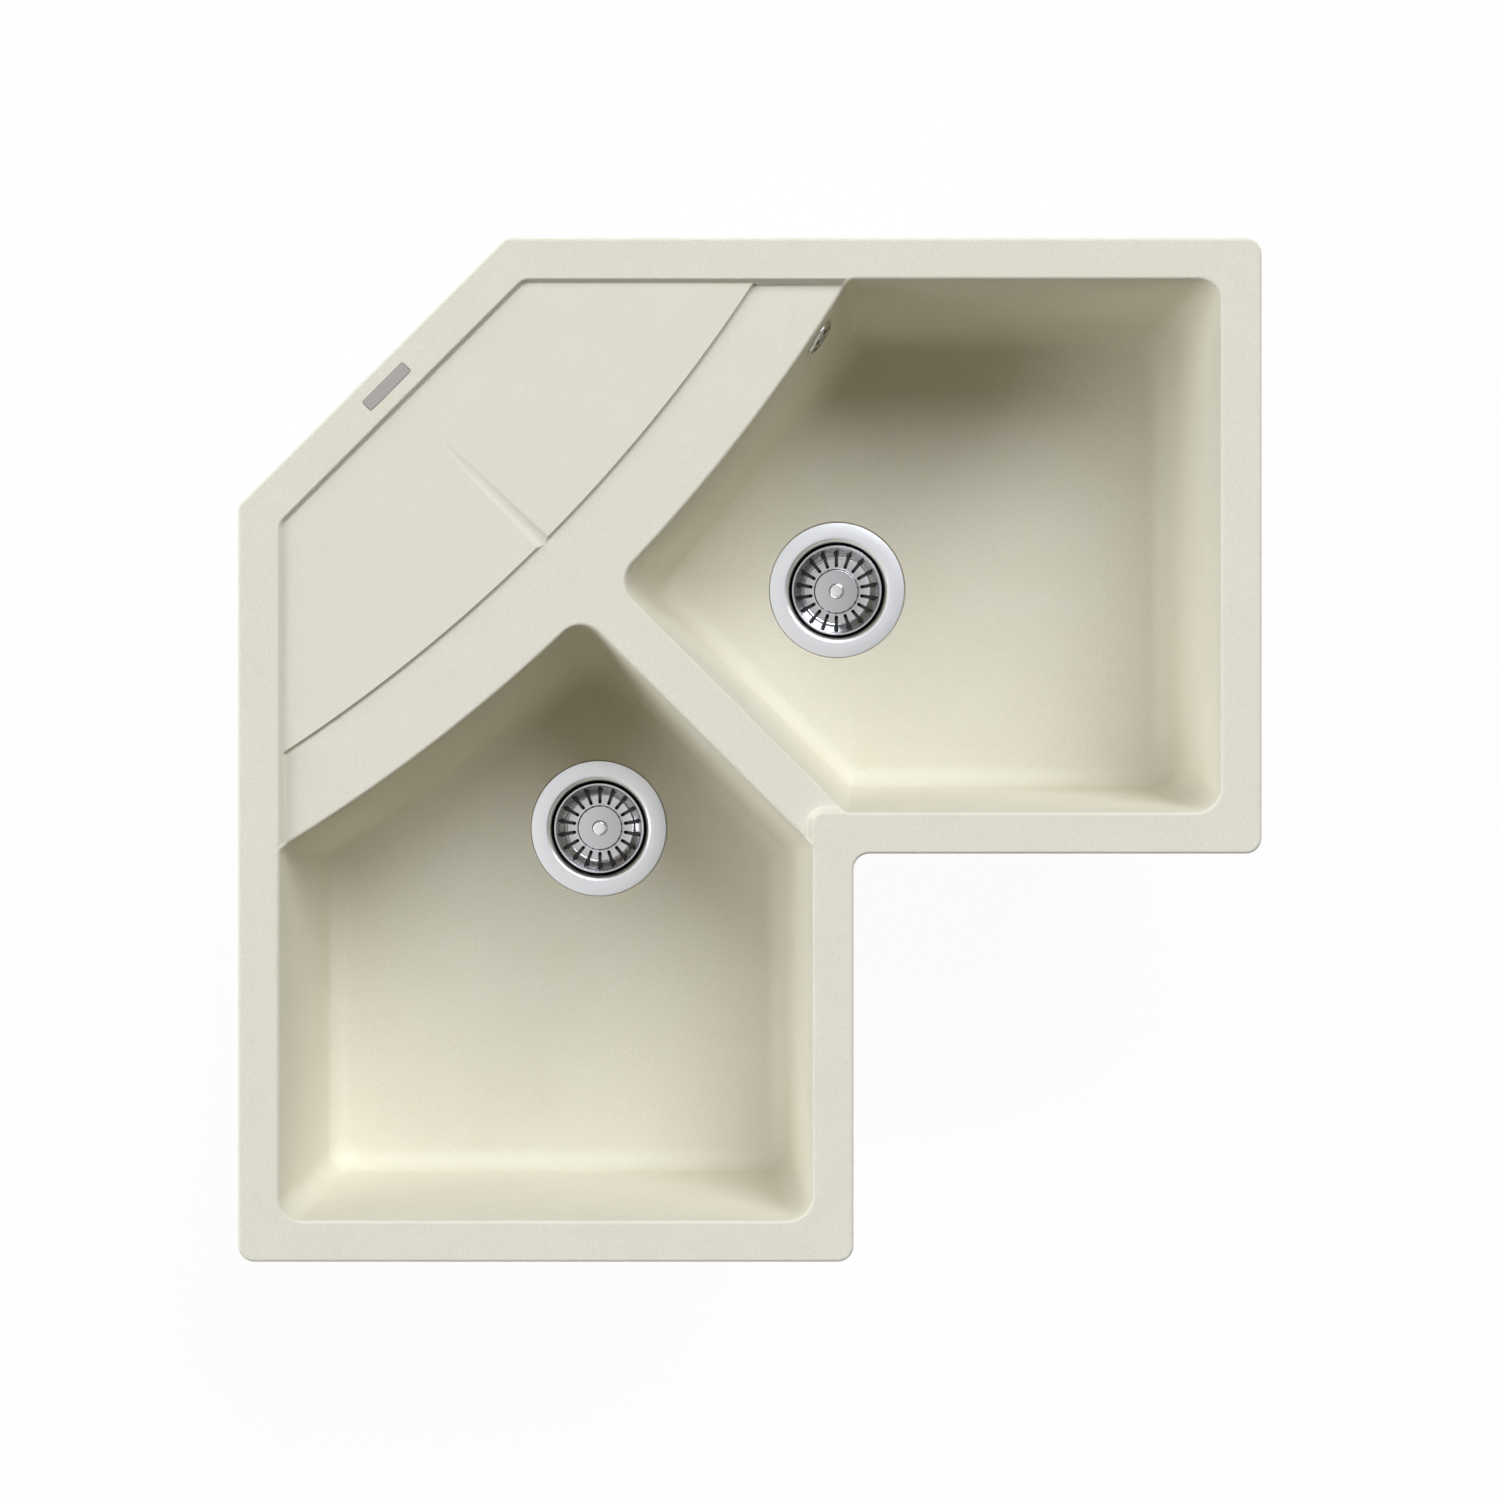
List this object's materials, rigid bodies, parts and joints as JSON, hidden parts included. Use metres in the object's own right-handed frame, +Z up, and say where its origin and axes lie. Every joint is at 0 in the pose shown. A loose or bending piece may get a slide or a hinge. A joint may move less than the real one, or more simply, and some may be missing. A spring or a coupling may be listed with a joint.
{
  "type": "corner kitchen sink",
  "caption": "Drop-in corner kitchen sink in cream composite: a bowl either side of a front notch, bevelled back corner with a shallow drainer, basket strainers, overflow and hold-down clips.",
  "frame": {"origin": "middle of the square outline, at the worktop's upper surface, which is the underside of the rim seal", "axes": "+Z up; +X and +Y along the two back edges; the bevelled back corner is towards -X +Y and the front notch towards +X -Y"},
  "size_m": [0.83, 0.83, 0.2796],
  "materials": {
    "cream_composite": "matte, very finely speckled cream granite composite",
    "badge_metal": "satin, blank",
    "seal_rubber": "matte",
    "plug_rubber": "matte",
    "flange_steel": "fine turned",
    "basket_steel": "polished",
    "knob_chrome": "polished",
    "cover_chrome": "polished",
    "clip_steel": "zinc plated",
    "screw_steel": "plain",
    "brass": "plain",
    "waste_plastic": "moulded",
    "nut_plastic": "moulded"
  },
  "bodies": {
    "sink": {"sink_body": "cream_composite", "rim_seal": "seal_rubber", "badge_plate": "badge_metal", "right_strainer_cup": "flange_steel", "right_flange_seal": "seal_rubber", "right_floor_seal": "seal_rubber", "right_waste_housing": "waste_plastic", "right_clamp_screw": "screw_steel", "right_housing_insert": "brass", "left_strainer_cup": "flange_steel", "left_flange_seal": "seal_rubber", "left_floor_seal": "seal_rubber", "left_waste_housing": "waste_plastic", "left_clamp_screw": "screw_steel", "left_housing_insert": "brass", "overflow_cover": "cover_chrome", "overflow_screw": "screw_steel", "overflow_gasket": "seal_rubber", "overflow_elbow": "waste_plastic", "overflow_pipe": "waste_plastic", "overflow_upper_nut": "nut_plastic", "overflow_lower_nut": "nut_plastic", "clip_anchor_right_side": "brass", "clip_screw_right_side": "screw_steel", "clip_anchor_right_back_outer": "brass", "clip_screw_right_back_outer": "screw_steel", "clip_anchor_right_back_inner": "brass", "clip_screw_right_back_inner": "screw_steel", "clip_anchor_back": "brass", "clip_screw_back": "screw_steel", "clip_anchor_left_back_inner": "brass", "clip_screw_left_back_inner": "screw_steel", "clip_anchor_left_back_outer": "brass", "clip_screw_left_back_outer": "screw_steel", "clip_anchor_left_side": "brass", "clip_screw_left_side": "screw_steel", "clip_anchor_left_front": "brass", "clip_screw_left_front": "screw_steel", "clip_anchor_right_front": "brass", "clip_screw_right_front": "screw_steel"},
    "right_basket_unit": {"right_basket": "basket_steel", "right_basket_plug": "plug_rubber", "right_basket_knob": "knob_chrome", "right_plug_retainer": "knob_chrome"},
    "left_basket_unit": {"left_basket": "basket_steel", "left_basket_plug": "plug_rubber", "left_basket_knob": "knob_chrome", "left_plug_retainer": "knob_chrome"},
    "bracket_right_side": {"clip_bracket_right_side": "clip_steel"},
    "bracket_right_back_outer": {"clip_bracket_right_back_outer": "clip_steel"},
    "bracket_right_back_inner": {"clip_bracket_right_back_inner": "clip_steel"},
    "bracket_back": {"clip_bracket_back": "clip_steel"},
    "bracket_left_back_inner": {"clip_bracket_left_back_inner": "clip_steel"},
    "bracket_left_back_outer": {"clip_bracket_left_back_outer": "clip_steel"},
    "bracket_left_side": {"clip_bracket_left_side": "clip_steel"},
    "bracket_left_front": {"clip_bracket_left_front": "clip_steel"},
    "bracket_right_front": {"clip_bracket_right_front": "clip_steel"}
  },
  "joints": [
    {"name": "right_basket_lift", "type": "slide", "parent": "sink", "child": "right_basket_unit", "axis": [0, 0, 1], "range_m": [0, 0.24]},
    {"name": "left_basket_lift", "type": "slide", "parent": "sink", "child": "left_basket_unit", "axis": [0, 0, 1], "range_m": [0, 0.24]},
    {"name": "clip_swing_right_side", "type": "hinge", "parent": "sink", "child": "bracket_right_side", "pos_m": [0.394, 0.14265, -0.0422], "axis": [0, 0, 1], "range_deg": [0, 90]},
    {"name": "clip_swing_right_back_outer", "type": "hinge", "parent": "sink", "child": "bracket_right_back_outer", "pos_m": [0.23068, 0.394, -0.0422], "axis": [0, 0, 1], "range_deg": [0, 90]},
    {"name": "clip_swing_right_back_inner", "type": "hinge", "parent": "sink", "child": "bracket_right_back_inner", "pos_m": [-0.06098, 0.394, -0.0422], "axis": [0, 0, 1], "range_deg": [0, 90]},
    {"name": "clip_swing_back", "type": "hinge", "parent": "sink", "child": "bracket_back", "pos_m": [-0.29165, 0.29165, -0.0422], "axis": [0, 0, 1], "range_deg": [0, 90]},
    {"name": "clip_swing_left_back_inner", "type": "hinge", "parent": "sink", "child": "bracket_left_back_inner", "pos_m": [-0.394, 0.06098, -0.0422], "axis": [0, 0, 1], "range_deg": [0, 90]},
    {"name": "clip_swing_left_back_outer", "type": "hinge", "parent": "sink", "child": "bracket_left_back_outer", "pos_m": [-0.394, -0.23068, -0.0422], "axis": [0, 0, 1], "range_deg": [0, 90]},
    {"name": "clip_swing_left_side", "type": "hinge", "parent": "sink", "child": "bracket_left_side", "pos_m": [-0.14265, -0.394, -0.0422], "axis": [0, 0, 1], "range_deg": [0, 90]},
    {"name": "clip_swing_left_front", "type": "hinge", "parent": "sink", "child": "bracket_left_front", "pos_m": [0.063, -0.2285, -0.0422], "axis": [0, 0, 1], "range_deg": [0, 90]},
    {"name": "clip_swing_right_front", "type": "hinge", "parent": "sink", "child": "bracket_right_front", "pos_m": [0.2285, -0.063, -0.0422], "axis": [0, 0, 1], "range_deg": [0, 90]}
  ]
}
